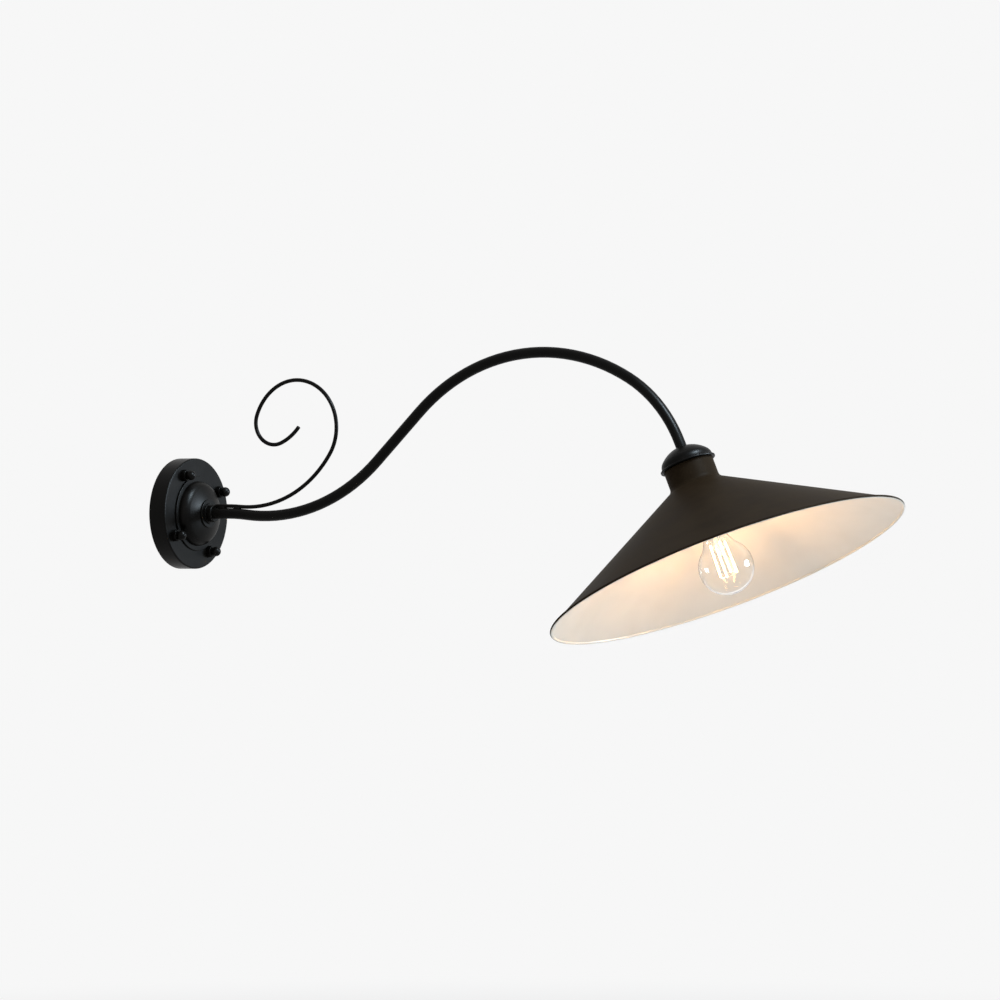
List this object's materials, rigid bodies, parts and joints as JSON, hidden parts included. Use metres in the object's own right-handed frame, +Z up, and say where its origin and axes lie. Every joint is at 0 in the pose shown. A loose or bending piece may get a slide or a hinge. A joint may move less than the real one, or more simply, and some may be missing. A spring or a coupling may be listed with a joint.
{
  "type": "gooseneck wall sconce",
  "caption": "Gooseneck wall sconce: round canopy, swan-necked tube with a curled scroll, wide conical metal shade and a screw-in filament bulb.",
  "frame": {"origin": "centre of the wall bracket's back face, on the wall", "axes": "+X out of the wall along the arm, +Z up"},
  "size_m": [0.8944, 0.402, 0.3233],
  "materials": {
    "charcoal_paint": "satin powder coat, charcoal black",
    "shade_paint": "matt charcoal outside, warm white enamel inside",
    "zinc_steel": "bright zinc plate",
    "brass": "plain turned brass",
    "nylon": "natural nylon",
    "porcelain": "glazed porcelain",
    "brown_wire": "brown insulation",
    "blue_wire": "blue insulation",
    "earth_wire": "green and yellow insulation",
    "clear_glass": "clear",
    "stem_glass": "clear",
    "filament": "phosphor-coated, glowing",
    "cap_metal": "nickel plate",
    "black_glass": "black insulating glass",
    "solder": "dull solder",
    "circuit_board": "green laminate"
  },
  "bodies": {
    "fixture": {"wall_bracket": "zinc_steel", "bracket_studs": "zinc_steel", "bracket_nuts": "zinc_steel", "canopy": "charcoal_paint", "ball_nuts": "charcoal_paint", "dome_boss": "charcoal_paint", "collar_washer": "charcoal_paint", "arm_collar": "charcoal_paint", "wall_nipple": "zinc_steel", "wall_lock_washer": "zinc_steel", "wall_lock_nut": "zinc_steel", "cable_bush": "nylon", "terminal_block": "nylon", "terminal_clamps": "brass", "terminal_screws": "zinc_steel", "block_screws": "zinc_steel", "earth_screw": "zinc_steel", "earth_tag": "zinc_steel", "earth_wire": "earth_wire", "live_wire": "brown_wire", "neutral_wire": "blue_wire", "gooseneck_tube": "charcoal_paint", "scroll": "charcoal_paint", "scroll_welds": "charcoal_paint", "cap_dome": "charcoal_paint", "shade": "shade_paint", "head_nipple": "zinc_steel", "head_lock_washer": "zinc_steel", "head_lock_nut": "zinc_steel", "holder_cap": "porcelain", "holder_body": "porcelain", "screw_shell": "brass", "centre_contact": "brass", "shell_terminal": "brass", "holder_screws": "zinc_steel"},
    "bulb": {"bulb_glass": "clear_glass", "bulb_stem": "stem_glass", "bulb_filaments": "filament", "filament_leads": "solder", "bulb_cap": "cap_metal", "bulb_insulator": "black_glass", "bulb_contact": "solder", "bulb_driver": "circuit_board"}
  },
  "joints": [
    {"name": "bulb_out", "type": "slide", "parent": "fixture", "child": "bulb", "axis": [0.3939, 0, -0.9191], "range_m": [0, 0.15]}
  ]
}
